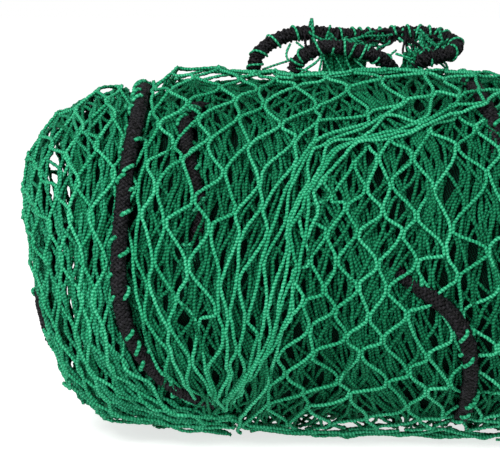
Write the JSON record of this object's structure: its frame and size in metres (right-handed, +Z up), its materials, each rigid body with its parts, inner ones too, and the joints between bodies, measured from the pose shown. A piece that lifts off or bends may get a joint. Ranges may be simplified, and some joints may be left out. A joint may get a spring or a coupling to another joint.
{
  "type": "cargo climbing net",
  "caption": "Gathered bundle of knotless square-mesh netting with a braided border rope round it and two slack rope loops on top.",
  "frame": {"origin": "on the floor, at the middle of the bundle's bounding box", "axes": "+X along the roll, +Z up, and -Y towards the side with the long left rope run on it"},
  "size_m": [0.4582, 0.2611, 0.2834],
  "materials": {
    "netting_twine": "green braided synthetic twine with a slight sheen",
    "hitch_twine": "green braided synthetic twine, hitched round the rope",
    "border_rope": "black braided multifilament rope, slightly fuzzy",
    "lashing_cord": "thin black whipping cord"
  },
  "bodies": {
    "bundle": {"border_rope_inner": "border_rope", "border_rope_left": "border_rope", "border_rope_nose": "border_rope", "border_rope_right": "border_rope", "border_rope_top_right": "border_rope", "net_hitches_inner": "hitch_twine", "net_hitches_left": "hitch_twine", "net_hitches_nose": "hitch_twine", "net_hitches_right": "hitch_twine", "net_hitches_top_right": "hitch_twine", "netting_back_fold": "netting_twine", "netting_front_fold": "netting_twine", "netting_left_fold": "netting_twine", "netting_middle_fold": "netting_twine", "netting_right_fold": "netting_twine"},
    "top_loops": {"loop_gather_1": "netting_twine", "loop_gather_2": "netting_twine", "loop_hitches_inner": "hitch_twine", "loop_hitches_outer": "hitch_twine", "loop_lashing_inner": "lashing_cord", "loop_lashing_outer": "lashing_cord", "loop_rope_inner": "border_rope", "loop_rope_outer": "border_rope"}
  },
  "joints": [
    {"name": "flop_of_loops", "type": "hinge", "parent": "bundle", "child": "top_loops", "pos_m": [-0.007, 0.022, 0.25035], "axis": [1, 0, 0], "range_deg": [-30, 8]}
  ]
}
